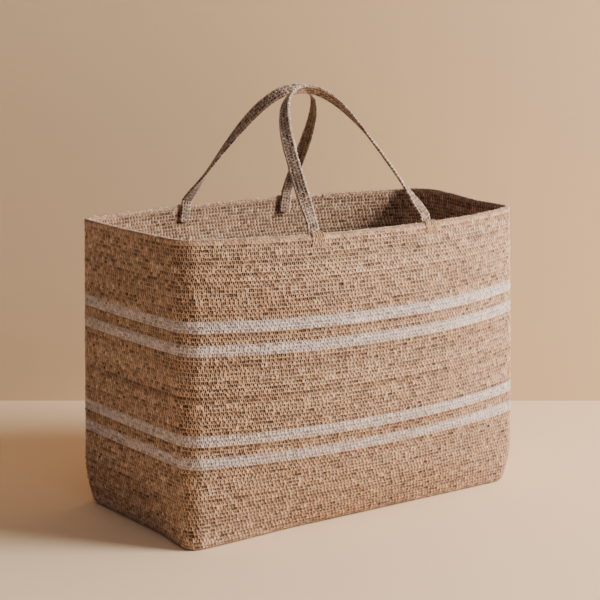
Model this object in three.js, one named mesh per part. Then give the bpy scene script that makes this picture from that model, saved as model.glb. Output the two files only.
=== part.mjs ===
// A soft market basket crocheted in rounds from raffia yarn: a flat base, a wall with two pairs of
// pale stripes, a firmer rim round and two flat carrying straps that lean together over the mouth.
// Millimetres. +X runs along the long side, +Y to the back, +Z up. The origin is on the floor under
// the middle of the base.
import * as THREE from "three";

// Wall outline: a round-cornered rectangle whose long sides swell outwards.
const HEIGHT = 330;
const HALF_LENGTH = 229.5;
const HALF_DEPTH_TOP = 104;
const HALF_DEPTH_BOTTOM = 118;
const CORNER_RADIUS = 16;
const HEEL_INSET = 7.5; // the wall draws in by this much where it meets the floor
const HEEL_HEIGHT = 55;
const FIRM_CORNER = [0.35, 0.9]; // the front left corner stands out at the floor instead
const LONG_BOW_RIM = 38; // how far the middle of a long side stands out at the rim
const LONG_BOW_BELLY = 24; // extra swell half way up
const LONG_BOW_POWER = 2.3;
const SHORT_BOW_RIM = 5;
const RIM_WAVE = 6.5; // the soft rim rises by this at most, along the back half of the right end
const SAG = 3; // the rounds hang lower by this much in the middle of the long sides
const WALL = 5;
const GAP = 0.3; // clearance between neighbouring pieces

// Base and rounds, from the floor up. Each band of the wall is worked in one yarn.
const BASE_THICKNESS = 6;
const BASE_EDGE_INSET = 4;
const STRIPE = 11.6;
const STRIPE_GAP = 12.4;
const LOWER_STRIPES_FROM = 88.2;
const UPPER_STRIPES_FROM = 207.2;
const RIM_HEIGHT = 6;
const RIM_PROUD = 1;
const LEVEL_STEP = 22; // tallest facet of a wall band

// Straps: flat crocheted bands sewn to the inside of the long walls.
const STRAP_WIDTH = 15;
const STRAP_THICKNESS = 4;
const STRAP_LEAN = THREE.MathUtils.degToRad(42.2); // from upright, inwards
// Each strap's feet stand this far either side of its middle, and its middle this far off the
// basket's. Both are sewn on by hand, so they differ a little. Seen from the strap's own side.
// Above its feet a strap makes the first share of its quarter turn, and it makes the rest between
// two places further up, each a share of the way from foot to top.
const STRAPS = {
  front: { halfSpan: 77, offset: -3, turnsFrom: 0.48, turnsTo: 1 },
  back: { halfSpan: 72, offset: 2, turnsFrom: 0.15, turnsTo: 0.8 },
};
const STRAP_STEPS = 44;
const FIRST_TURN = 0.44;
const FIRST_TURN_TO = 0.26;
const FOOT_DROP = 20; // sewn length below the rim
const FOOT_CLEARANCE = 0.6;
const PIVOT_RISE = 6; // the strap bends this far above the rim beside it
const PIVOT_ROOM = 2.8; // the foot ends this far below the pivot
const LASHING_WIDTH = 17;
const LASHING_DROP = 15;
const LASHING_THICKNESS = 1.2;

// Colours and finish of the yarns.
const NATURAL = 0xb1927a;
const PALE = 0xc9b5ad;
const STRAP_TAN = 0xb3937a;

function yarn(color) {
  return new THREE.MeshStandardMaterial({ color, roughness: 0.9, metalness: 0 });
}

// The wall's half length, half depth and long-side swell at a height, less an inset from its outside.
function section(z, inset) {
  const t = z / HEIGHT;
  const heel = HEEL_INSET * Math.max(0, 1 - z / HEEL_HEIGHT) ** 2;
  return {
    a: HALF_LENGTH - heel - inset,
    b: THREE.MathUtils.lerp(HALF_DEPTH_BOTTOM, HALF_DEPTH_TOP, t) - heel - inset,
    heel,
    radius: CORNER_RADIUS - inset,
    longBow: LONG_BOW_RIM * t + LONG_BOW_BELLY * 4 * t * (1 - t),
    shortBow: SHORT_BOW_RIM * t,
    sag: SAG * Math.sin(0.75 * Math.PI * t),
    wave: RIM_WAVE * t ** 3,
  };
}

// Swells a point of the plain round-cornered rectangle and lets it sag, with the two places where
// the soft basket isn't even: its firm corner and the wave in its rim.
function swell(x, y, z, s) {
  const alongLong = 1 - Math.min(1, Math.abs(x / s.a)) ** LONG_BOW_POWER;
  const alongShort = 1 - Math.min(1, Math.abs(y / s.b)) ** 2;
  const nearFirm = Math.max(0, -x / s.a) * Math.max(0, -y / s.b);
  const firm = s.heel * THREE.MathUtils.smoothstep(nearFirm, ...FIRM_CORNER);
  const atBack = THREE.MathUtils.smoothstep(y / s.b, -0.5, 0.6);
  const wave = s.wave * Math.max(0, x / s.a) ** 12 * alongShort * atBack;
  return new THREE.Vector3(
    x * (1 + (s.shortBow / s.a) * alongShort) - firm,
    y * (1 + (s.longBow / s.b) * alongLong) - firm,
    z - s.sag * alongLong + wave,
  );
}

const CORNER_STEPS = 5;
const LONG_STEPS = 14;
const SHORT_STEPS = 6;

// Closed outline of the wall at a height, counter-clockwise from above.
function outline(z, inset = 0) {
  const s = section(z, inset);
  const points = [];
  const corners = [[1, -1], [1, 1], [-1, 1], [-1, -1]];
  corners.forEach(([sx, sy], i) => {
    const cx = sx * (s.a - s.radius);
    const cy = sy * (s.b - s.radius);
    for (let k = 0; k <= CORNER_STEPS; k++) {
      const angle = (i - 1 + k / CORNER_STEPS) * (Math.PI / 2);
      points.push([cx + s.radius * Math.cos(angle), cy + s.radius * Math.sin(angle)]);
    }
    const [x, y] = points[points.length - 1];
    const steps = sx * sy < 0 ? SHORT_STEPS : LONG_STEPS;
    const endX = sx * sy < 0 ? x : -x;
    const endY = sx * sy < 0 ? -y : y;
    for (let k = 1; k < steps; k++) {
      points.push([THREE.MathUtils.lerp(x, endX, k / steps), THREE.MathUtils.lerp(y, endY, k / steps)]);
    }
  });
  return points.map(([x, y]) => swell(x, y, z, s));
}

// Joins loops of equal length, each running into the next, into one closed mesh. The last loop joins
// the first, unless the mesh is capped: then both are closed by fans around their first points, or
// around their middles.
const JOINED = "joined";
const CAPPED = "capped";
const CAPPED_FROM_MIDDLE = "capped from the middle";

function loftLoops(loops, ends) {
  const capped = ends !== JOINED;
  const count = loops[0].length;
  const positions = loops.flat().flatMap((p) => [p.x, p.y, p.z]);
  const index = [];
  const spans = capped ? loops.length - 1 : loops.length;
  for (let i = 0; i < spans; i++) {
    const low = i * count;
    const high = ((i + 1) % loops.length) * count;
    for (let k = 0; k < count; k++) {
      const next = (k + 1) % count;
      index.push(low + k, low + next, high + next, low + k, high + next, high + k);
    }
  }
  const last = (loops.length - 1) * count;
  if (ends === CAPPED) {
    for (let k = 1; k < count - 1; k++) {
      index.push(0, k + 1, k);
      index.push(last, last + k, last + k + 1);
    }
  }
  if (ends === CAPPED_FROM_MIDDLE) {
    for (const loop of [loops[0], loops[loops.length - 1]]) {
      const middle = new THREE.Vector3();
      for (const p of loop) middle.addScaledVector(p, 1 / count);
      positions.push(middle.x, middle.y, middle.z);
    }
    const under = loops.length * count;
    for (let k = 0; k < count; k++) {
      const next = (k + 1) % count;
      index.push(under, next, k);
      index.push(under + 1, last + k, last + next);
    }
  }
  const geometry = new THREE.BufferGeometry();
  geometry.setAttribute("position", new THREE.Float32BufferAttribute(positions, 3));
  geometry.setIndex(index);
  geometry.computeVertexNormals();
  return geometry;
}

function levels(from, to) {
  const steps = Math.max(1, Math.ceil((to - from) / LEVEL_STEP));
  return Array.from({ length: steps + 1 }, (_, i) => THREE.MathUtils.lerp(from, to, i / steps));
}

// One band of the wall: up its outside, over, and down its inside.
function wallBand(from, to, proud = 0) {
  const up = levels(from, to).map((z) => outline(z, -proud));
  const down = levels(from, to).reverse().map((z) => outline(z, WALL + proud));
  return loftLoops([...up, ...down], JOINED);
}

// The base is worked flat, with its edge turned up into the wall's first round.
function basePanel() {
  const floor = outline(0, BASE_EDGE_INSET);
  const edge = outline(BASE_THICKNESS / 2, 1);
  const top = outline(BASE_THICKNESS);
  for (const p of floor) p.z = 0;
  return loftLoops([floor, edge, top], CAPPED_FROM_MIDDLE);
}

// A point beside the front wall, at an inset from its outside.
function besideWall(x, z, inset) {
  const s = section(z, inset);
  return swell(x, -s.b, z, s);
}

// A strap's own sizes. Its pivot lies on its mid plane, above the rim and inside it, and the two
// straps meet edge to edge over the middle of the mouth.
function strapSizes({ halfSpan, offset, ...turns }) {
  const planeInset = WALL + RIM_PROUD + FOOT_CLEARANCE + STRAP_THICKNESS / 2;
  const pivot = besideWall(halfSpan, HEIGHT, planeInset);
  pivot.x = offset;
  pivot.z += PIVOT_RISE;
  const meetingRoom = GAP
    + (STRAP_WIDTH / 2) * Math.cos(STRAP_LEAN)
    + (STRAP_THICKNESS / 2) * Math.sin(STRAP_LEAN);
  const reach = (-pivot.y - meetingRoom) / Math.sin(STRAP_LEAN);
  // Half of the arch in the strap's own plane: x across, y up the plane from the pivot.
  const halfArch = new THREE.CubicBezierCurve(
    new THREE.Vector2(-halfSpan, 0),
    new THREE.Vector2(-0.79 * halfSpan, 0.49 * reach),
    new THREE.Vector2(-0.68 * halfSpan, reach),
    new THREE.Vector2(0, reach),
  );
  return { pivot, halfArch, ...turns };
}

// The band's four corners at a place along the strap, u from 0 to 1 foot to foot. It lies flat to
// the wall at its feet and turns through a quarter turn, so that it lies flat in the hand at the top.
function strapSection({ pivot, halfArch, turnsFrom, turnsTo }, u) {
  const side = u <= 0.5 ? 1 : -1;
  const half = u <= 0.5 ? 2 * u : 2 * (1 - u);
  const place = halfArch.getPointAt(half);
  const slope = halfArch.getTangentAt(half);
  const up = new THREE.Vector3(0, Math.sin(STRAP_LEAN), Math.cos(STRAP_LEAN));
  const facing = new THREE.Vector3(0, -Math.cos(STRAP_LEAN), Math.sin(STRAP_LEAN));
  const across = new THREE.Vector3(1, 0, 0);
  const centre = pivot.clone()
    .addScaledVector(across, side * place.x)
    .addScaledVector(up, place.y);
  const along = new THREE.Vector3()
    .addScaledVector(across, slope.x)
    .addScaledVector(up, side * slope.y)
    .normalize();
  const inPlane = new THREE.Vector3().crossVectors(along, facing).normalize();
  const first = FIRST_TURN * THREE.MathUtils.smoothstep(half, 0, FIRST_TURN_TO);
  const rest = (1 - FIRST_TURN) * THREE.MathUtils.smoothstep(half, turnsFrom, turnsTo);
  const turn = (first + rest) * (Math.PI / 2);
  const width = inPlane.multiplyScalar(Math.cos(turn)).addScaledVector(facing, Math.sin(turn));
  const thick = new THREE.Vector3().crossVectors(along, width).normalize();
  return [[-1, -1], [1, -1], [1, 1], [-1, 1]].map(([w, h]) => centre.clone()
    .addScaledVector(width, (w * STRAP_WIDTH) / 2)
    .addScaledVector(thick, (h * STRAP_THICKNESS) / 2));
}

function strapLoop(strap) {
  const sizes = strapSizes(strap);
  const steps = Array.from({ length: STRAP_STEPS + 1 }, (_, i) => i / STRAP_STEPS);
  return loftLoops(steps.map((u) => strapSection(sizes, u)), CAPPED);
}

// A small piece that follows the front wall around a middle, from its profile of heights and
// depths from the wall's outside.
function wallPatch(middle, width, profile) {
  const ends = [-0.5, 0.5].map((half) => profile.map(
    ([z, inset]) => besideWall(middle + half * width, z, inset),
  ));
  return loftLoops(ends, CAPPED);
}

// The sewn end of a strap, flat against the inside of the wall and up to just below the pivot.
function strapFoot(middle) {
  const near = WALL + RIM_PROUD + FOOT_CLEARANCE;
  const far = near + STRAP_THICKNESS;
  const low = HEIGHT - FOOT_DROP;
  const top = HEIGHT + PIVOT_RISE - PIVOT_ROOM;
  return wallPatch(middle, STRAP_WIDTH, [[low, near], [low, far], [top, far], [top, near]]);
}

// Yarn lashed through the wall and over the rim, outside each sewn end.
function lashing(middle) {
  const under = -RIM_PROUD - GAP;
  const outer = under - LASHING_THICKNESS;
  const low = HEIGHT - LASHING_DROP;
  const cover = HEIGHT + GAP;
  const inner = WALL + RIM_PROUD;
  const over = cover + LASHING_THICKNESS;
  return wallPatch(middle, LASHING_WIDTH, [
    [cover, under], [cover, inner], [over, inner], [over, outer], [low, outer], [low, under],
  ]);
}

const basket = new THREE.Group();

// Pieces are made for the front wall, and turned half round for the back one.
function addPiece(name, geometry, color, back = false) {
  const mesh = new THREE.Mesh(geometry, yarn(color));
  mesh.name = name;
  if (back) mesh.rotation.z = Math.PI;
  basket.add(mesh);
}

const lowerPair = [LOWER_STRIPES_FROM, LOWER_STRIPES_FROM + STRIPE + STRIPE_GAP];
const upperPair = [UPPER_STRIPES_FROM, UPPER_STRIPES_FROM + STRIPE + STRIPE_GAP];
const bands = [
  ["wall_lower", BASE_THICKNESS, lowerPair[0], NATURAL],
  ["stripe_1", lowerPair[0], lowerPair[0] + STRIPE, PALE],
  ["wall_between_lower_stripes", lowerPair[0] + STRIPE, lowerPair[1], NATURAL],
  ["stripe_2", lowerPair[1], lowerPair[1] + STRIPE, PALE],
  ["wall_middle", lowerPair[1] + STRIPE, upperPair[0], NATURAL],
  ["stripe_3", upperPair[0], upperPair[0] + STRIPE, PALE],
  ["wall_between_upper_stripes", upperPair[0] + STRIPE, upperPair[1], NATURAL],
  ["stripe_4", upperPair[1], upperPair[1] + STRIPE, PALE],
  ["wall_upper", upperPair[1] + STRIPE, HEIGHT - RIM_HEIGHT, NATURAL],
];

addPiece("base_panel", basePanel(), NATURAL);
for (const [name, from, to, color] of bands) {
  addPiece(name, wallBand(from + GAP, to), color);
}
addPiece("rim_round", wallBand(HEIGHT - RIM_HEIGHT + GAP, HEIGHT, RIM_PROUD), NATURAL);

for (const [wall, strap] of Object.entries(STRAPS)) {
  const back = wall === "back";
  addPiece(`${wall}_handle`, strapLoop(strap), STRAP_TAN, back);
  for (const side of [-1, 1]) {
    const place = `${wall}_${(side < 0) === back ? "right" : "left"}`;
    const middle = strap.offset + side * strap.halfSpan;
    addPiece(`${place}_strap_foot`, strapFoot(middle), STRAP_TAN, back);
    addPiece(`${place}_lashing`, lashing(middle), NATURAL, back);
  }
}

export default basket;
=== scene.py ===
"""The woven market basket: crocheted wall, base, rim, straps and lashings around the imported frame.

Metres. +X along the long side, +Y to the back, +Z up, origin on the floor under the basket.
"""

import math

import bpy
import numpy as np
from mathutils import Euler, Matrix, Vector


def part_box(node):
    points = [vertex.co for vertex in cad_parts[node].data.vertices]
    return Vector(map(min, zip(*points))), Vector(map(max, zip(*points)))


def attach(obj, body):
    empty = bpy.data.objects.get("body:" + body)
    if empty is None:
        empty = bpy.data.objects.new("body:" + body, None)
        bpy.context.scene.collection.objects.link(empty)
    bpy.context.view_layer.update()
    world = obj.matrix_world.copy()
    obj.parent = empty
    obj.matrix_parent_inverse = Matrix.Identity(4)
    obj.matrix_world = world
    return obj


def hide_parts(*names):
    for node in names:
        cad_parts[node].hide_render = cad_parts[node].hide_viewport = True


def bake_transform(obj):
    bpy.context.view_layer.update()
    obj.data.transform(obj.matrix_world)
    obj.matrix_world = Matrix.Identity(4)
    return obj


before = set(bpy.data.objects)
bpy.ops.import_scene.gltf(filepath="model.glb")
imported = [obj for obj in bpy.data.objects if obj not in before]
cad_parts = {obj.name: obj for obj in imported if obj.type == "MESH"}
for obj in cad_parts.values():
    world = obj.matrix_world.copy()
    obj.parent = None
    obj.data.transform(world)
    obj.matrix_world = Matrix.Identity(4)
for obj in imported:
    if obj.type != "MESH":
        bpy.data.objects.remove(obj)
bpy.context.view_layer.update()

MM = 0.001
rng = np.random.RandomState(11)


# ---------------------------------------------------------------- the wall's shape
HEIGHT = 330 * MM
HALF_LENGTH = 229.5 * MM
HALF_DEPTH_TOP = 104 * MM
HALF_DEPTH_BOTTOM = 118 * MM
CORNER_RADIUS = 16 * MM
HEEL_INSET = 7.5 * MM
HEEL_HEIGHT = 55 * MM
FIRM_CORNER = (0.35, 0.9)  # the front left corner stands out at the floor
LONG_BOW_RIM = 38 * MM
LONG_BOW_BELLY = 24 * MM
LONG_BOW_POWER = 2.3
SHORT_BOW_RIM = 5 * MM
RIM_WAVE = 6.5 * MM  # the rim rises along the back half of the right end
SAG = 3 * MM
WALL = 5 * MM
BASE_THICKNESS = 6 * MM
BASE_EDGE_INSET = 4 * MM
RIM_HEIGHT = 6 * MM
GAP = 0.3 * MM


class Section:
    """The wall's half sizes and swell at heights z, less an inset from its outside."""

    def __init__(self, z, inset):
        t = z / HEIGHT
        self.heel = heel = HEEL_INSET * np.maximum(0, 1 - z / HEEL_HEIGHT) ** 2
        self.a = HALF_LENGTH - heel - inset
        self.b = HALF_DEPTH_BOTTOM + (HALF_DEPTH_TOP - HALF_DEPTH_BOTTOM) * t - heel - inset
        self.radius = CORNER_RADIUS - inset
        self.long_bow = LONG_BOW_RIM * t + LONG_BOW_BELLY * 4 * t * (1 - t)
        self.short_bow = SHORT_BOW_RIM * t
        self.sag = SAG * np.sin(0.75 * math.pi * t)
        self.wave = RIM_WAVE * t ** 3


def smoothstep(x, low, high):
    t = np.clip((x - low) / (high - low), 0, 1)
    return t * t * (3 - 2 * t)


def swell(x, y, z, s):
    """Swells points of the plain round-cornered rectangle and lets them sag, unevenly in two places."""
    along_long = 1 - np.minimum(1, np.abs(x / s.a)) ** LONG_BOW_POWER
    along_short = 1 - np.minimum(1, np.abs(y / s.b)) ** 2
    firm = s.heel * smoothstep(np.maximum(0, -x / s.a) * np.maximum(0, -y / s.b), *FIRM_CORNER)
    wave = s.wave * np.maximum(0, x / s.a) ** 12 * along_short * smoothstep(y / s.b, -0.5, 0.6)
    return np.stack([
        x * (1 + s.short_bow / s.a * along_short) - firm,
        y * (1 + s.long_bow / s.b * along_long) - firm,
        z - s.sag * along_long + wave,
    ], -1)


CORNER_SIGNS = np.array([[1, -1], [1, 1], [-1, 1], [-1, -1]], float)


def plain_point(turn, s):
    """A point of the plain rectangle. turn runs from 0 to 8: a corner's arc, then the side after it."""
    part = np.floor(turn).astype(int) % 8
    share = turn - np.floor(turn)
    corner = part // 2
    on_arc = part % 2 == 0
    angle = (corner - 1 + np.where(on_arc, share, 1.0)) * (math.pi / 2)
    here, after = CORNER_SIGNS[corner], CORNER_SIGNS[(corner + 1) % 4]

    def on_corner(sign, angle):
        return (
            sign[..., 0] * (s.a - s.radius) + s.radius * np.cos(angle),
            sign[..., 1] * (s.b - s.radius) + s.radius * np.sin(angle),
        )

    x0, y0 = on_corner(here, angle)
    x1, y1 = on_corner(after, angle)
    along = np.where(on_arc, 0.0, share)
    return x0 + (x1 - x0) * along, y0 + (y1 - y0) * along


def wall_point(turn, z, inset):
    s = Section(z, inset)
    x, y = plain_point(turn, s)
    return swell(x, y, z, s)


def even_turns(count):
    """Values of turn that stand evenly apart around the wall, half way up it, and the way round."""
    fine = np.linspace(0, 8, 4001)
    points = wall_point(fine, np.full_like(fine, HEIGHT / 2), 0.0)
    length = np.concatenate([[0], np.cumsum(np.linalg.norm(np.diff(points, axis=0), axis=1))])
    return np.interp(np.arange(count) / count * length[-1], length, fine), length[-1]


def beside_wall(x, z, inset):
    """A point beside the front wall."""
    s = Section(z, inset)
    return swell(x, -s.b, z, s)


# ---------------------------------------------------------------- meshes and their maps
def make_mesh(name, parts, materials):
    """A smooth mesh piece of one or more parts, each a dict of points, quads, floats, yarn and bake.

    floats are per-point attributes. yarn and bake are maps, one pair for each corner of each quad.
    """
    me = bpy.data.meshes.new(name)
    points = np.concatenate([p["points"] for p in parts])
    starts = np.cumsum([0] + [len(p["points"]) for p in parts])
    quads = np.concatenate([p["quads"] + start for p, start in zip(parts, starts)]).astype(np.int32)
    me.vertices.add(len(points))
    me.vertices.foreach_set("co", points.astype(np.float32).ravel())
    me.loops.add(quads.size)
    me.loops.foreach_set("vertex_index", quads.ravel())
    me.polygons.add(len(quads))
    me.polygons.foreach_set("loop_start", np.arange(0, quads.size, 4, dtype=np.int32))
    me.polygons.foreach_set("use_smooth", np.ones(len(quads), bool))
    for attribute in parts[0].get("floats", {}):
        values = np.concatenate([np.ravel(p["floats"][attribute]) for p in parts])
        me.attributes.new(attribute, "FLOAT", "POINT").data.foreach_set("value", values.astype(np.float32))
    for map_name, key in (("Yarn", "yarn"), ("OFBake", "bake")):
        if key in parts[0]:
            corners = np.concatenate([p[key] for p in parts]).astype(np.float32)
            me.uv_layers.new(name=map_name).data.foreach_set("uv", corners.ravel())
    me.update(calc_edges=True)
    me.validate()
    for material in materials:
        me.materials.append(material)
    piece = bpy.data.objects.new(name, me)
    bpy.context.scene.collection.objects.link(piece)
    return piece


def grid_quads(rows, columns, wrap_rows, wrap_columns):
    """Quads of a grid of points, row by row, and each quad's own row and column."""
    r = np.arange(rows if wrap_rows else rows - 1)
    c = np.arange(columns if wrap_columns else columns - 1)
    R, C = np.meshgrid(r, c, indexing="ij")
    R, C = R.ravel(), C.ravel()
    up, on = (R + 1) % rows, (C + 1) % columns
    quads = np.stack([R * columns + C, R * columns + on, up * columns + on, up * columns + C], -1)
    return quads, R, C


def corner_map(u, v):
    """A map's corners from each quad's low and high u and v."""
    (u0, u1), (v0, v1) = u, v
    return np.stack([np.stack(pair, -1) for pair in ((u0, v0), (u1, v0), (u1, v1), (u0, v1))], 1)


def folded_map(R, C, rows, columns, folds):
    """Lays a long band out as a stack of equal strips that fill the square, one island each."""
    per_fold = int(math.ceil(columns / folds))
    fold = C // per_fold
    margin = 0.004
    du = (1 - 2 * margin) / per_fold
    dv = (1 / folds - 2 * margin) / rows
    u = margin + (C - fold * per_fold) * du
    v = fold / folds + margin + R * dv
    return corner_map((u, u + du), (v, v + dv))


def surface_normals(points, wrap_columns=True):
    """Normals of a grid of points, rows up and columns along."""
    if wrap_columns:
        along = np.roll(points, -1, axis=1) - np.roll(points, 1, axis=1)
    else:
        along = np.gradient(points, axis=1)
    n = np.cross(along, np.gradient(points, axis=0))
    return n / np.maximum(np.linalg.norm(n, axis=-1, keepdims=True), 1e-12)


# ---------------------------------------------------------------- crochet
STITCHES = 300
ROW_HEIGHT = 4.15 * MM
SLANT_PER_ROW = 0.3  # of a stitch: rounds all worked one way lean
YARN_RADIUS = 0.80 * MM
LEGS = ((0.42, 0.20), (0.58, 0.86))  # where a stitch's two legs start and end across its cell
LEG_FROM, LEG_TO = -0.06, 0.98
BAR_RADIUS = 0.74 * MM
BAR_LEVEL = 0.86  # height of the top loops that the next round is worked into
INNER_BAR_LEVEL = 0.88
# painted shade: how much lower the tone is on the wall's inside face, inside the basket
INSIDE_PAINTED_SHADE = 0.2
_, WALL_ROUND = even_turns(STITCHES)
STITCH_WIDTH = WALL_ROUND / STITCHES


def smoothed(noise, length):
    """White noise smoothed around its first axis, with unit spread."""
    k = np.fft.rfftfreq(len(noise))[:, None]
    out = np.fft.irfft(np.fft.rfft(noise, axis=0) * np.exp(-(k * length * 2.2) ** 2), len(noise), axis=0)
    return out / out.std()


class Crochet:
    """Stitches of one piece: each has its own lean, thickness, height and tone."""

    ROWS = 96

    def __init__(self, seed, count):
        noise = np.random.RandomState(seed)
        size = (count, self.ROWS)
        self.count = count
        self.lean = 0.10 * noise.normal(size=size)
        self.rise = 1 + 0.17 * noise.normal(size=size)
        self.radius = YARN_RADIUS * (1 + 0.15 * noise.normal(size=size))
        self.shift = 0.07 * noise.normal(size=size)
        self.phase = 0.16 * noise.normal(size=self.ROWS) - SLANT_PER_ROW * np.arange(self.ROWS)
        self.bar = 1 + 0.12 * noise.normal(size=size)
        rounds = noise.normal(size=(1, self.ROWS))
        streaks = smoothed(noise.normal(size=size), 14)
        self.tone = 0.34 * rounds + 0.22 * streaks + 0.46 * noise.normal(size=size)
        self.hue = 0.7 * smoothed(noise.normal(size=size), 20) + 0.3 * rounds + 0.6 * noise.normal(size=size)

    def relief(self, stitch, row, width, height, flipped=False, bar_level=BAR_LEVEL):
        """Relief, tone and hue at positions counted in stitches and rows. Relief is 0 in the holes."""
        r = np.floor(row).astype(int)
        within = row - r
        shape = np.broadcast(stitch, row).shape
        best, tone, hue = np.zeros(shape), np.zeros(shape), np.zeros(shape)
        for dr in (-1, 0, 1):
            rr = r + dr
            v = within - dr
            if flipped:
                v = 1 - v
            shifted = stitch + self.phase[rr % self.ROWS]
            i = np.floor(shifted).astype(int)
            for di in (-1, 0, 1):
                ii = i + di
                at = (ii % self.count, rr % self.ROWS)
                u = shifted - ii - self.lean[at] * (v - 0.5)
                for side, ends in enumerate(LEGS):
                    leg = self.leg(u, v - self.shift[at], ends, self.radius[at], width, height)
                    leg = leg * self.rise[at] * (1.0, 0.9)[side]
                    over = leg > best
                    best = np.where(over, leg, best)
                    # painted light and shade: the first leg of each V is given a higher tone and the second a
                    # lower one
                    tone = np.where(over, self.tone[at] + (0.85, -0.75)[side], tone)
                    hue = np.where(over, self.hue[at], hue)
            at = (i % self.count, rr % self.ROWS)
            scallop = 0.05 * np.cos(2 * math.pi * (shifted - i)) + 0.5 * self.shift[at]
            bar = np.sqrt(np.clip(1 - ((v - scallop) * height / BAR_RADIUS) ** 2, 0, 1))
            bar = bar * bar_level * self.bar[at] * (0.88 + 0.12 * np.cos(4 * math.pi * (shifted - i)))
            over = bar > best
            best = np.where(over, bar, best)
            # painted highlight: the top loops are given a higher, evener tone
            tone = np.where(over, 0.8 * self.tone[at] + 0.3, tone)
            hue = np.where(over, self.hue[at], hue)
        return best, tone, hue

    @staticmethod
    def leg(u, v, ends, radius, width, height):
        """One leg of a V, from its foot low in the cell to its top above."""
        foot, top = ends
        x0, y0 = foot * width, LEG_FROM * height
        dx, dy = (top - foot) * width, (LEG_TO - LEG_FROM) * height
        px, py = u * width - x0, v * height - y0
        along = np.clip((px * dx + py * dy) / (dx * dx + dy * dy), 0, 1)
        away = (px - along * dx) ** 2 + (py - along * dy) ** 2
        return np.sqrt(np.clip(1 - away / radius ** 2, 0, 1)) * (0.62 + 0.38 * np.sin(math.pi * along))


# ---------------------------------------------------------------- materials
def node(tree, kind, **values):
    n = tree.nodes.new(kind)
    for key, value in values.items():
        setattr(n, key, value)
    return n


def map_range(tree, value, low, high, to_low, to_high, smooth=False):
    n = node(tree, "ShaderNodeMapRange")
    if smooth:
        n.interpolation_type = "SMOOTHSTEP"
    for socket, number in (("From Min", low), ("From Max", high), ("To Min", to_low), ("To Max", to_high)):
        n.inputs[socket].default_value = number
    tree.links.new(value, n.inputs["Value"])
    return n.outputs["Result"]


def mix_color(tree, factor, a, b, blend="MIX"):
    """Mixes two colours; each is a socket or a constant."""
    n = node(tree, "ShaderNodeMix", data_type="RGBA", blend_type=blend)
    sockets = {s.name: s for s in n.inputs if s.type == "RGBA"}
    sockets["Factor"] = next(s for s in n.inputs if s.name == "Factor" and s.type == "VALUE")
    for name, value in (("Factor", factor), ("A", a), ("B", b)):
        if isinstance(value, bpy.types.NodeSocket):
            tree.links.new(value, sockets[name])
        else:
            sockets[name].default_value = value if name == "Factor" else (*value, 1)
    return next(s for s in n.outputs if s.type == "RGBA")


def attribute(tree, name):
    return node(tree, "ShaderNodeAttribute", attribute_name=name).outputs["Fac"]


def noise(tree, uv, scale, detail=3.0, roughness=0.6):
    stretch = node(tree, "ShaderNodeMapping")
    stretch.inputs["Scale"].default_value = scale
    tree.links.new(uv, stretch.inputs["Vector"])
    n = node(tree, "ShaderNodeTexNoise")
    n.inputs["Scale"].default_value = 1.0
    n.inputs["Detail"].default_value = detail
    n.inputs["Roughness"].default_value = roughness
    tree.links.new(stretch.outputs["Vector"], n.inputs["Vector"])
    return n.outputs["Fac"]


def yarn_material(name, tones, tint, hole_shade_color, sheen=0.2):
    """Heathered raffia yarn: each stitch has its tone and tint, with fibres along it, and painted shade that
    darkens the colour from the yarn tops down into the holes.
    """
    mat = bpy.data.materials.new(name)
    mat.use_nodes = True
    tree = mat.node_tree
    tree.nodes.clear()
    link = tree.links.new
    out = node(tree, "ShaderNodeOutputMaterial")
    shader = node(tree, "ShaderNodeBsdfPrincipled")
    shader.inputs["Roughness"].default_value = 0.85
    shader.inputs["Specular IOR Level"].default_value = 0.22
    shader.inputs["Sheen Weight"].default_value = sheen
    shader.inputs["Sheen Roughness"].default_value = 0.6
    link(shader.outputs["BSDF"], out.inputs["Surface"])

    uv = node(tree, "ShaderNodeUVMap", uv_map="Yarn").outputs["UV"]
    fibres = noise(tree, uv, (620, 7.0, 1), 4.0, 0.7)
    wear = noise(tree, uv, (9, 0.16, 1), 3.0, 0.55)

    ramp = node(tree, "ShaderNodeValToRGB")
    while len(ramp.color_ramp.elements) < len(tones):
        ramp.color_ramp.elements.new(0.5)
    for element, (place, color) in zip(ramp.color_ramp.elements, tones):
        element.position = place
        element.color = (*color, 1)
    tone = map_range(tree, attribute(tree, "tone"), -2.6, 2.6, 0, 1)
    link(tone, ramp.inputs["Fac"])
    hue = map_range(tree, attribute(tree, "hue"), -1.6, 2.2, 0, 1)
    color = mix_color(tree, hue, ramp.outputs["Color"], tint, "MULTIPLY")
    flecked = node(tree, "ShaderNodeVectorMath", operation="MULTIPLY")
    link(color, flecked.inputs[0])
    link(map_range(tree, fibres, 0.28, 0.72, 0.76, 1.24), flecked.inputs[1])
    worn = node(tree, "ShaderNodeVectorMath", operation="MULTIPLY")
    link(flecked.outputs["Vector"], worn.inputs[0])
    link(map_range(tree, wear, 0.3, 0.7, 0.9, 1.08), worn.inputs[1])
    # painted shade: the lower the relief, the closer the colour comes to the dark hole colour, so holes and
    # strand sides are shaded in the colour
    depth = map_range(tree, attribute(tree, "relief"), 0.20, 0.98, 0, 1, smooth=True)
    link(mix_color(tree, depth, hole_shade_color, worn.outputs["Vector"]), shader.inputs["Base Color"])

    bump = node(tree, "ShaderNodeBump")
    bump.inputs["Strength"].default_value = 0.4
    bump.inputs["Distance"].default_value = 0.0006
    link(fibres, bump.inputs["Height"])
    link(bump.outputs["Normal"], shader.inputs["Normal"])
    return mat


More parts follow.
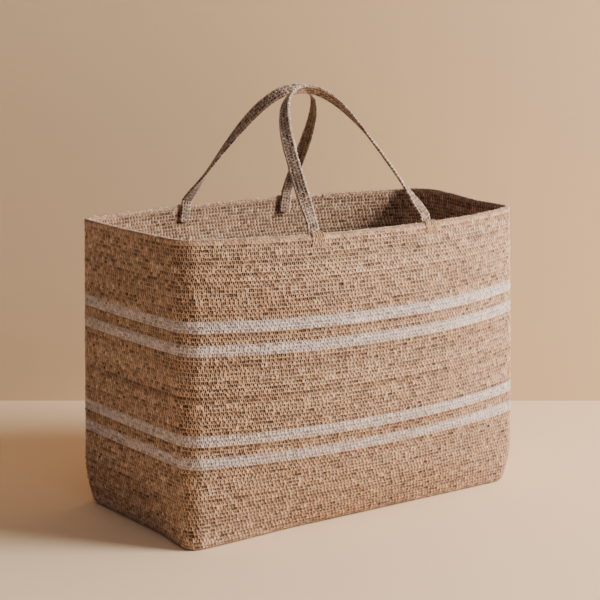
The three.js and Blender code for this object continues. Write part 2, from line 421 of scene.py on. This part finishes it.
NATURAL_TONES = [
    (0.08, (0.240, 0.138, 0.083)),
    (0.30, (0.500, 0.303, 0.180)),
    (0.50, (0.710, 0.455, 0.280)),
    (0.72, (0.890, 0.620, 0.400)),
    (0.95, (0.990, 0.820, 0.600)),
]
PALE_TONES = [
    (0.08, (0.620, 0.490, 0.410)),
    (0.35, (0.880, 0.750, 0.665)),
    (0.60, (0.970, 0.870, 0.800)),
    (0.95, (1.000, 0.950, 0.910)),
]
STRAP_TONES = [
    (0.08, (0.260, 0.160, 0.115)),
    (0.35, (0.480, 0.325, 0.230)),
    (0.60, (0.680, 0.500, 0.365)),
    (0.95, (0.960, 0.800, 0.620)),
]
LASHING_TONES = [
    (0.10, (0.560, 0.370, 0.220)),
    (0.50, (0.830, 0.600, 0.385)),
    (0.95, (0.960, 0.790, 0.570)),
]
LILAC = (0.93, 0.92, 1.0)
ROSE = (0.98, 0.90, 0.90)
# the last colour of each yarn is the painted shade that its holes sink to
natural_yarn = yarn_material("natural_yarn_looks", NATURAL_TONES, ROSE, (0.045, 0.019, 0.009))
pale_yarn = yarn_material("pale_yarn_looks", PALE_TONES, LILAC, (0.300, 0.210, 0.165))
strap_yarn = yarn_material("strap_yarn_looks", STRAP_TONES, ROSE, (0.045, 0.020, 0.012))
lashing_yarn = yarn_material("lashing_yarn_looks", LASHING_TONES, ROSE, (0.130, 0.070, 0.040))


# ---------------------------------------------------------------- wall, rim and base
PER_STITCH = 6
PER_ROW = 5
PER_ROW_INSIDE = 4
RELIEF = 1.9 * MM
SINK = 1.45 * MM  # the holes lie this far under the plain surface
INNER_RELIEF = 1.3 * MM
INNER_SINK = 1.1 * MM
EDGE_ROWS = 2  # rounds of the base's edge that turn up into the wall
EDGE_RISE = 5.2 * MM
EDGE_TUCK = 4.6 * MM

COLUMNS = STITCHES * PER_STITCH
TURNS, _ = even_turns(COLUMNS)
STITCH_AT = np.arange(COLUMNS) / PER_STITCH

# The bands of the wall, from the base up, with the rounds each is worked in.
BANDS = [
    ("wall_lower", 20, "natural_yarn"),
    ("stripe_1", 3, "pale_yarn"),
    ("wall_between_lower_stripes", 3, "natural_yarn"),
    ("stripe_2", 3, "pale_yarn"),
    ("wall_middle", 20, "natural_yarn"),
    ("stripe_3", 3, "pale_yarn"),
    ("wall_between_upper_stripes", 3, "natural_yarn"),
    ("stripe_4", 3, "pale_yarn"),
    ("wall_upper", 20, "natural_yarn"),
]
YARNS = {"natural_yarn": natural_yarn, "pale_yarn": pale_yarn}


def worked_surface(crochet, row, z, inset, relief, sink, flipped=False):
    """A stitched surface round the wall. The first and last of its rows only give the normals."""
    points = wall_point(TURNS[None, :], z[:, None], inset[:, None])
    normals = surface_normals(points)[1:-1]
    points, row = points[1:-1], row[1:-1]
    bar_level = INNER_BAR_LEVEL if flipped else BAR_LEVEL
    height, tone, hue = crochet.relief(
        STITCH_AT[None, :], row[:, None], STITCH_WIDTH, ROW_HEIGHT, flipped, bar_level)
    # painted shade: the inside face is given a lower tone
    tone = tone - (INSIDE_PAINTED_SHADE if flipped else 0)
    points = points + normals * (height * relief - sink)[..., None]
    return points, height, tone, hue, row


def closed_ring(surfaces, folds):
    """One closed ring from surfaces that follow each other round its section."""
    points, height, tone, hue = (np.concatenate([s[k] for s in surfaces]) for k in range(4))
    v = np.concatenate([s[4] + 200.0 * k for k, s in enumerate(surfaces)])
    rows = len(points)
    quads, R, C = grid_quads(rows, COLUMNS, True, True)
    u = C / COLUMNS * WALL_ROUND
    yarn = corner_map((u, u + WALL_ROUND / COLUMNS), (v[R], v[(R + 1) % rows]))
    return {
        "points": points.reshape(-1, 3), "quads": quads,
        "floats": {"relief": height, "tone": tone, "hue": hue},
        "yarn": yarn, "bake": folded_map(R, C, rows, COLUMNS, folds),
    }


def place_piece(piece, body, slot, *replaced):
    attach(piece, body)
    if replaced:
        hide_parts(*replaced)


def wall_bands():
    z_low = BASE_THICKNESS + GAP
    for seed, (name, rows, slot) in enumerate(BANDS):
        z_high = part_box(name)[1].z
        crochet = Crochet(40 + seed, STITCHES)
        surfaces = []
        for inside in (False, True):
            per_row = PER_ROW_INSIDE if inside else PER_ROW
            row = np.arange(-1, rows * per_row + 2) / per_row
            z = z_low + (z_high - z_low) * row / rows
            inset = np.full_like(z, WALL if inside else 0.0)
            relief, sink = (-INNER_RELIEF, -INNER_SINK) if inside else (RELIEF, SINK)
            surface = worked_surface(crochet, row, z, inset, relief, sink, flipped=inside)
            if inside:
                surface = tuple(part[::-1] for part in surface)
            surfaces.append(surface)
        piece = make_mesh(name + "_crochet", [closed_ring(surfaces, 3 if rows > 5 else 6)], [YARNS[slot]])
        place_piece(piece, "basket", slot, name)
        z_low = z_high + GAP


RIM_SHOULDER = 1.6 * MM
RIM_ROWS = 5
RIM_RELIEF = 1.7 * MM
RIM_SINK = 1.2 * MM


def rim_round():
    """The last round, worked firmly over the top edge of the wall."""
    low = HEIGHT - RIM_HEIGHT + GAP
    straight = HEIGHT - low - RIM_SHOULDER
    across = WALL / 2
    q = np.linspace(0, 1, RIM_ROWS * 5 + 1)
    side = straight / (straight * 2 + math.pi * across * 0.8)
    turn = np.clip((q - side) / (1 - 2 * side), 0, 1) * math.pi
    z = low + np.where(q < 0.5, np.minimum(q / side, 1), np.minimum((1 - q) / side, 1)) * straight
    z = z + RIM_SHOULDER * np.sin(turn)
    inset = across * (1 - np.cos(turn))
    row = q * RIM_ROWS
    step = row[1] - row[0]
    row = np.concatenate([[-step], row, [RIM_ROWS + step]])
    z = np.concatenate([[z[0] * 2 - z[1]], z, [z[-1] * 2 - z[-2]]])
    inset = np.concatenate([[0.0], inset, [WALL]])
    surface = worked_surface(Crochet(60, STITCHES), row, z, inset, RIM_RELIEF, RIM_SINK)
    # painted highlight: the tone rises over the top of the rim
    rim_top_highlight = np.sin(turn)[:, None]
    surface = (*surface[:2], surface[2] + 0.9 * rim_top_highlight, *surface[3:])
    piece = make_mesh("rim_round_crochet", [closed_ring([surface], 6)], [rim_yarn])
    place_piece(piece, "basket", "rim_yarn", "rim_round")


def base_edge():
    """The base's last rounds, which turn up into the wall."""
    steps = EDGE_ROWS * PER_ROW
    row = np.arange(-1, steps + 2) / PER_ROW
    curl = np.clip(1 - row / EDGE_ROWS, -0.06, 1.06) * (math.pi / 2)
    z = BASE_THICKNESS - EDGE_RISE * np.sin(curl)
    inset = EDGE_TUCK * (1 - np.cos(curl))
    crochet = Crochet(65, STITCHES)
    outside = worked_surface(crochet, row, z, inset, RELIEF * 0.8, SINK * 0.8)
    # its hidden side, plain
    back_z = np.linspace(BASE_THICKNESS, BASE_THICKNESS - EDGE_RISE, 5)
    points = wall_point(TURNS[None, :], back_z[:, None], np.full((5, 1), WALL))
    plain = np.full(points.shape[:2], 0.5)
    hidden = (points, plain, plain * 0, plain * 0, np.arange(5) / 4)
    return closed_ring([outside, hidden], 6)


def base_panel():
    """The flat base, worked in rounds outwards from a line along its middle."""
    columns = 600
    turns, _ = even_turns(columns)
    z_top, z_under = BASE_THICKNESS, 0.0
    rounds = 26
    surfaces = []
    crochet = Crochet(70, STITCHES)
    for top in (False, True):
        per_row = 4 if top else 3
        row = np.arange(1, rounds * per_row + 1) / per_row
        edge_z = np.full(columns, z_top if top else z_under)
        s = Section(edge_z, BASE_EDGE_INSET)
        outline = wall_point(turns, edge_z, np.full(columns, WALL + 0.3 * MM))[:, :2]
        reach = (s.a - s.b)[0]
        centre = np.stack([np.clip(outline[:, 0], -reach, reach), np.zeros(columns)], -1)
        share = row / rounds
        flat = centre[None] + (outline - centre)[None] * share[:, None, None]
        loop = np.linalg.norm(flat - np.roll(flat, 1, axis=1), axis=-1).sum(1)
        count = np.round(np.interp(np.floor(row), row, loop) / STITCH_WIDTH)
        stitch = np.arange(columns)[None, :] / columns * count[:, None]
        height, tone, hue = crochet.relief(stitch, row[:, None], STITCH_WIDTH, ROW_HEIGHT)
        depth = (1 - height) * 0.9 * MM
        z = z_top - depth if top else z_under + depth
        points = np.concatenate([flat, z[..., None]], -1)
        surface = (points, height, tone, hue, row)
        surfaces.append(tuple(part[::-1] for part in surface) if top else surface)
    # from the middle out along the underside, then back in over the top
    points, height, tone, hue = (np.concatenate([s[k] for s in surfaces]) for k in range(4))
    v = np.concatenate([s[4] + 200.0 * k for k, s in enumerate(surfaces)])
    rows = len(points)
    quads, R, C = grid_quads(rows, columns, True, True)
    quads = quads[:, ::-1]
    u = C / columns * WALL_ROUND
    yarn = corner_map((u, u + WALL_ROUND / columns), (v[R], v[(R + 1) % rows]))[:, ::-1]
    part = {
        "points": points.reshape(-1, 3), "quads": quads,
        "floats": {"relief": height, "tone": tone, "hue": hue},
        "yarn": yarn, "bake": folded_map(R, C, rows, columns, 2)[:, ::-1],
    }
    piece = make_mesh("base_panel_crochet", [part, base_edge()], [natural_yarn])
    place_piece(piece, "basket", "natural_yarn", "base_panel")


rim_yarn = natural_yarn.copy()
rim_yarn.name = "rim_yarn_looks"
wall_bands()
rim_round()
base_panel()


# ---------------------------------------------------------------- straps
STRAP_WIDTH = 15 * MM
STRAP_THICKNESS = 4 * MM
STRAP_LEAN = math.radians(42.2)
STRAPS = {
    "front": {"half_span": 77 * MM, "offset": -3 * MM, "turns_from": 0.48, "turns_to": 1.0},
    "back": {"half_span": 72 * MM, "offset": 2 * MM, "turns_from": 0.15, "turns_to": 0.8},
}
FIRST_TURN = 0.44
FIRST_TURN_TO = 0.26
FOOT_DROP = 20 * MM
FOOT_CLEARANCE = 0.6 * MM
RIM_PROUD = 1 * MM
PIVOT_RISE = 6 * MM
BEND_HALF_HEIGHT = 4 * MM
PLANE_INSET = WALL + RIM_PROUD + FOOT_CLEARANCE + STRAP_THICKNESS / 2
STRAP_ROWS = 3
STRAP_STITCH = 4.4 * MM
STRAP_STEP = 0.85 * MM
TO_BACK = np.array([-1, -1, 1])  # half a turn, from the front wall to the back


def bezier(points, t):
    a, b, c, d = (np.array(p) for p in points)
    t = t[:, None]
    return (1 - t) ** 3 * a + 3 * (1 - t) ** 2 * t * b + 3 * (1 - t) * t * t * c + t ** 3 * d


def cumulative(points):
    return np.concatenate([[0], np.cumsum(np.linalg.norm(np.diff(points, axis=0), axis=1))])


def softened(values, passes):
    """Smooths a path's values along it, its ends held."""
    for _ in range(passes):
        values = np.concatenate([values[:1], (values[:-2] + values[1:-1] * 2 + values[2:]) / 4, values[-1:]])
    return values


def strap_path(half_span, offset, turns_from, turns_to):
    """Centres and width directions along a front strap, foot to foot."""
    pivot = beside_wall(half_span, HEIGHT, PLANE_INSET)
    pivot = np.array([offset, pivot[1], pivot[2] + PIVOT_RISE])
    meeting = GAP + STRAP_WIDTH / 2 * math.cos(STRAP_LEAN) + STRAP_THICKNESS / 2 * math.sin(STRAP_LEAN)
    reach = (-pivot[1] - meeting) / math.sin(STRAP_LEAN)
    fine = bezier([(-half_span, 0), (-0.79 * half_span, 0.49 * reach),
                   (-0.68 * half_span, reach), (0, reach)], np.linspace(0, 1, 400))
    length = cumulative(fine)
    up = np.array([0, math.sin(STRAP_LEAN), math.cos(STRAP_LEAN)])
    facing = np.array([0, -math.cos(STRAP_LEAN), math.sin(STRAP_LEAN)])
    across = np.array([1.0, 0, 0])
    count = int(length[-1] / STRAP_STEP)
    halves = []
    for side in (1, -1):
        half = np.linspace(0, 1, count)
        x = np.interp(half * length[-1], length, fine[:, 0])
        y = np.interp(half * length[-1], length, fine[:, 1])
        centre = pivot + across * (side * x)[:, None] + up * y[:, None]
        slope_x, slope_y = np.gradient(x), np.gradient(y)
        along = across * slope_x[:, None] + up * (side * slope_y)[:, None]
        along /= np.linalg.norm(along, axis=1, keepdims=True)
        in_plane = np.cross(along, facing)
        turn = (FIRST_TURN * smoothstep(half, 0, FIRST_TURN_TO)
                + (1 - FIRST_TURN) * smoothstep(half, turns_from, turns_to)) * (math.pi / 2)
        width = in_plane * np.cos(turn)[:, None] + facing * np.sin(turn)[:, None]
        # the sewn end below the pivot, down the inside of the wall
        foot_z = np.arange(HEIGHT - FOOT_DROP + 1 * MM, HEIGHT + 2 * MM, STRAP_STEP)
        foot = beside_wall(np.full_like(foot_z, -side * half_span), foot_z, PLANE_INSET)
        foot[:, 0] = offset - side * half_span
        foot_width = np.tile(width[0], (len(foot), 1))
        centre = np.concatenate([foot, centre])
        width = np.concatenate([foot_width, width])
        halves.append((centre, width) if side == 1 else (centre[::-1][1:], width[::-1][1:]))
    centre = np.concatenate([h[0] for h in halves])
    width = np.concatenate([h[1] for h in halves])
    return softened(centre, 8), softened(width, 12), pivot


def strap_part(crochet, centre, width):
    """A flat crocheted band along a path: rows run along it, and its long edges are rounded."""
    along = np.gradient(centre, axis=0)
    along /= np.linalg.norm(along, axis=1, keepdims=True)
    thick = np.cross(along, width)
    thick /= np.linalg.norm(thick, axis=1, keepdims=True)
    width = np.cross(thick, along)
    half_width, half_thick = STRAP_WIDTH / 2, STRAP_THICKNESS / 2
    edge = half_thick * 0.95
    flat = 2 * (half_width - edge)
    # places round the section: (across, through, row), anticlockwise seen along the band
    face = np.linspace(-1, 1, 19)[:-1]
    bend = np.linspace(-math.pi / 2, math.pi / 2, 6)[:-1]
    section = [(f * flat / 2, -half_thick, (f + 1) / 2 * STRAP_ROWS) for f in face]
    section += [(flat / 2 + edge * math.cos(b), half_thick * math.sin(b), STRAP_ROWS + (b / math.pi + 0.5))
                for b in bend]
    section += [(-f * flat / 2, half_thick, STRAP_ROWS + 1 + (f + 1) / 2 * STRAP_ROWS) for f in face]
    section += [(-flat / 2 - edge * math.cos(b), -half_thick * math.sin(b),
                 2 * STRAP_ROWS + 1 + (b / math.pi + 0.5)) for b in bend]
    section = np.array(section)
    distance = cumulative(centre)
    stitch = distance / STRAP_STITCH
    height, tone, hue = crochet.relief(stitch[None, :], section[:, 2][:, None], STRAP_STITCH, 3.7 * MM)
    # painted highlight along both long edges of the strap, with the faces between them slightly lower in tone
    highlit_edge = np.abs(section[:, 0]) > flat / 2 - 1.2 * MM
    tone = tone + np.where(highlit_edge, 1.1, -0.15)[:, None]
    shrink = 1.2 * MM * (1 - height)
    # the section's outward direction at each place
    out = np.roll(section[:, :2], -1, axis=0) - np.roll(section[:, :2], 1, axis=0)
    out = np.stack([out[:, 1], -out[:, 0]], -1)
    out /= np.linalg.norm(out, axis=1, keepdims=True)
    at_w = section[:, 0][:, None] - shrink * out[:, 0][:, None]
    at_t = section[:, 1][:, None] - shrink * out[:, 1][:, None]
    points = centre[None] + width[None] * at_w[..., None] + thick[None] * at_t[..., None]
    # the ends draw in to close
    count, around = len(centre), len(section)
    points[:, 0] = points[:, 0].mean(0) * 0.9 + points[:, 0] * 0.1
    points[:, -1] = points[:, -1].mean(0) * 0.9 + points[:, -1] * 0.1
    quads, R, C = grid_quads(around, count, True, False)
    v = section[:, 2]
    v_next = np.where(np.arange(around) == around - 1, 2 * STRAP_ROWS + 2, np.roll(v, -1))
    yarn = corner_map((distance[C], distance[C + 1]), (v[R], v_next[R]))
    return {
        "points": points.reshape(-1, 3), "quads": quads,
        "floats": {"relief": height, "tone": tone, "hue": hue},
        "yarn": yarn, "bake": folded_map(R, C, around, count, 8),
    }


def straps():
    for seed, (wall, sizes) in enumerate(STRAPS.items()):
        centre, width, pivot = strap_path(**sizes)
        part = strap_part(Crochet(80 + seed, STITCHES), centre, width)
        if wall == "back":
            part["points"] = part["points"] * TO_BACK
            pivot = pivot * TO_BACK
        piece = make_mesh(wall + "_strap_crochet", [part], [strap_yarn])
        start, end = Vector((0, pivot[1], pivot[2])), Vector((0, pivot[1], pivot[2]))
        start.z -= BEND_HALF_HEIGHT
        end.z += BEND_HALF_HEIGHT
        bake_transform(piece)
        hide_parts(wall + "_handle", wall + "_left_strap_foot", wall + "_right_strap_foot")


straps()


# ---------------------------------------------------------------- lashings
LASHING_WIDTH = 17 * MM
LASHING_STRANDS = 6
LASHING_RADIUS = 0.85 * MM
LASHING_TIERS = 3
LASHING_TIER = 4.3 * MM
LASHING_STAGGER = 1.1 * MM
LASHING_SPREAD = 0.3 * MM
LASHING_UNEVEN = 0.5 * MM
TUBE_SIDES = 10
PLY_LAY = 3.2 * MM
PLY_DEPTH = 0.13


def tube(path, radius, map_place):
    """A closed two-ply strand along a path, with rounded ends. map_place is its row in the yarn map."""
    path = np.asarray(path)
    along = np.gradient(path, axis=0)
    along /= np.linalg.norm(along, axis=1, keepdims=True)
    aside = np.cross(along, np.array([0.31, 0.85, 0.42]))
    aside /= np.linalg.norm(aside, axis=1, keepdims=True)
    over = np.cross(along, aside)
    distance = cumulative(path)
    to_end = np.minimum(distance, distance[-1] - distance)
    r = radius * np.sqrt(np.clip(1 - np.clip(1 - to_end / radius, 0, 1) ** 2, 0.03, 1))
    angle = np.arange(TUBE_SIDES) / TUBE_SIDES * 2 * math.pi
    twist = distance[None, :] / PLY_LAY * 2 * math.pi
    ply = 1 + PLY_DEPTH * np.cos(2 * angle[:, None] + twist)
    points = path[None] + (aside[None] * np.cos(angle)[:, None, None]
                           + over[None] * np.sin(angle)[:, None, None]) * (r[None] * ply)[..., None]
    quads, R, C = grid_quads(TUBE_SIDES, len(path), True, False)
    shape = (TUBE_SIDES, len(path))
    yarn = corner_map((distance[C], distance[C + 1]),
                      (R / TUBE_SIDES + map_place, (R + 1) / TUBE_SIDES + map_place))
    return {
        "points": points.reshape(-1, 3), "quads": quads[:, ::-1],
        "floats": {
            # painted shade: the grooves between the plies get low relief, which the yarn material darkens
            "relief": 0.55 + 0.45 * (ply - (1 - PLY_DEPTH)) / (2 * PLY_DEPTH),
            "tone": np.full(shape, rng.normal() * 0.8),
            "hue": np.full(shape, rng.normal() * 0.6),
        },
        "yarn": yarn[:, ::-1],
    }


def strand_profile(low, tier):
    """Heights along one strand, each with its depth in mm behind the wall's outside."""
    if tier:
        high = low + LASHING_TIER + 0.6 * MM
        return [(low, 1.3), (low + 1.0 * MM, -0.6), ((low + high) / 2, -1.1), (high - 1.0 * MM, -0.6),
                (high, 1.2)]
    return [(low, 1.3), (low + 1.0 * MM, -0.8), (HEIGHT - 1.8 * MM, -1.2), (HEIGHT - 0.3 * MM, -0.9),
            (HEIGHT + 0.9 * MM, 0.6), (HEIGHT + 1.0 * MM, 3.0), (HEIGHT + 0.4 * MM, 5.2)]


def strand(middle, k, tier):
    """One short strand of a lashing. Those of the first tier go over the rim."""
    x = middle + ((k + 0.5) / LASHING_STRANDS - 0.5) * (LASHING_WIDTH - LASHING_RADIUS)
    x += (tier % 2 - 0.5) * LASHING_STAGGER + rng.normal() * LASHING_SPREAD
    low = HEIGHT - (tier + 1) * LASHING_TIER + rng.normal() * LASHING_UNEVEN
    lean = rng.normal() * LASHING_UNEVEN
    profile = strand_profile(low, tier)
    t = np.linspace(0, len(profile) - 1, 16 if tier else 26)
    z = np.interp(t, np.arange(len(profile)), [p[0] for p in profile])
    inset = np.interp(t, np.arange(len(profile)), [p[1] * MM for p in profile])
    path = beside_wall(x + lean * np.linspace(-1, 1, len(t)), z, inset)
    return tube(softened(path, 2), LASHING_RADIUS, 3.0 * k + tier)


def lashings():
    for wall, sizes in STRAPS.items():
        back = wall == "back"
        for side in (-1, 1):
            middle = sizes["offset"] + side * sizes["half_span"]
            parts = [strand(middle, k, tier) for k in range(LASHING_STRANDS) for tier in range(LASHING_TIERS)]
            if back:
                for part in parts:
                    part["points"] = part["points"] * TO_BACK
            place = wall + "_" + ("right" if (side < 0) == back else "left")
            piece = make_mesh(place + "_lashing_yarn", parts, [lashing_yarn])
            place_piece(piece, "basket", "lashing_yarn", place + "_lashing")


lashings()


# ---------------------------------------------------------------- stage, light and camera
VIEW_TURN = math.radians(35.81)
VIEW_DIP = math.radians(10.63)
WALL_BEHIND = 0.437  # how far the paper wall stands behind the basket's middle, along the view
WALL_TAN = (0.800, 0.590, 0.365)
FLOOR_TAN = (0.980, 0.745, 0.495)
FLOOR_RADIUS = 14
PAPER_REACH = 3.2
SHADE_COLOR = (0.86, 0.95, 1.25)
SHADE_STRENGTH = 0.105
CAMERA_PLACE = (-1.1743, -1.6232, 0.6033)
CAMERA_LENS = 106.2


def stage_material(name, color, one_sided):
    mat = bpy.data.materials.new(name)
    mat.use_nodes = True
    tree = mat.node_tree
    shader = tree.nodes["Principled BSDF"]
    shader.inputs["Base Color"].default_value = (*color, 1)
    shader.inputs["Roughness"].default_value = 0.9
    shader.inputs["Specular IOR Level"].default_value = 0.1
    if one_sided:
        clear = tree.nodes.new("ShaderNodeBsdfTransparent")
        mix = tree.nodes.new("ShaderNodeMixShader")
        side = tree.nodes.new("ShaderNodeNewGeometry")
        tree.links.new(side.outputs["Backfacing"], mix.inputs["Fac"])
        tree.links.new(shader.outputs["BSDF"], mix.inputs[1])
        tree.links.new(clear.outputs["BSDF"], mix.inputs[2])
        tree.links.new(mix.outputs["Shader"], tree.nodes["Material Output"].inputs["Surface"])
    return mat


def studio():
    """A pale floor, and a paper wall behind the basket that can't be seen from its back."""
    bpy.ops.mesh.primitive_circle_add(vertices=96, radius=FLOOR_RADIUS, fill_type="NGON")
    floor = bpy.context.object
    floor.name = "studio_floor"
    floor.data.materials.append(stage_material("floor_paint", FLOOR_TAN, False))
    away = Vector((math.sin(VIEW_TURN), math.cos(VIEW_TURN), 0))
    aside = Vector((away.y, -away.x, 0))
    foot = away * WALL_BEHIND
    corners = [foot - aside * PAPER_REACH, foot + aside * PAPER_REACH]
    points = [(*c.xy, z) for z in (-0.01, PAPER_REACH) for c in corners]
    me = bpy.data.meshes.new("studio_wall")
    me.from_pydata(points, [], [(0, 1, 3, 2)])
    wall = bpy.data.objects.new("studio_wall", me)
    bpy.context.scene.collection.objects.link(wall)
    me.materials.append(stage_material("wall_paint", WALL_TAN, True))


def lamp(name, place, size, power, color, aim=(0, 0, 0.2)):
    data = bpy.data.lights.new(name, "AREA")
    data.shape = "DISK"
    data.size = size
    data.energy = power
    data.color = color
    light = bpy.data.objects.new(name, data)
    bpy.context.scene.collection.objects.link(light)
    light.location = place
    light.rotation_euler = (Vector(aim) - Vector(place)).to_track_quat("-Z", "Y").to_euler()


def soft_room():
    """The weak, cool light that fills the shadows."""
    world = bpy.data.worlds.new("soft_room")
    bpy.context.scene.world = world
    world.use_nodes = True
    background = world.node_tree.nodes["Background"]
    background.inputs["Color"].default_value = (*SHADE_COLOR, 1)
    background.inputs["Strength"].default_value = SHADE_STRENGTH


def camera():
    data = bpy.data.cameras.new("camera")
    data.sensor_width = 36
    data.lens = CAMERA_LENS
    data.clip_end = 50
    cam = bpy.data.objects.new("camera", data)
    cam.location = CAMERA_PLACE
    cam.rotation_euler = Euler((math.pi / 2 - VIEW_DIP, 0, -VIEW_TURN))
    bpy.context.scene.collection.objects.link(cam)
    bpy.context.scene.camera = cam


studio()
lamp("key", (1.95, -2.1, 1.75), 1.6, 188, (1.0, 0.955, 0.90))
lamp("fill", (-0.6, -2.6, 2.6), 1.8, 9, (1.0, 0.95, 0.92))
soft_room()
camera()
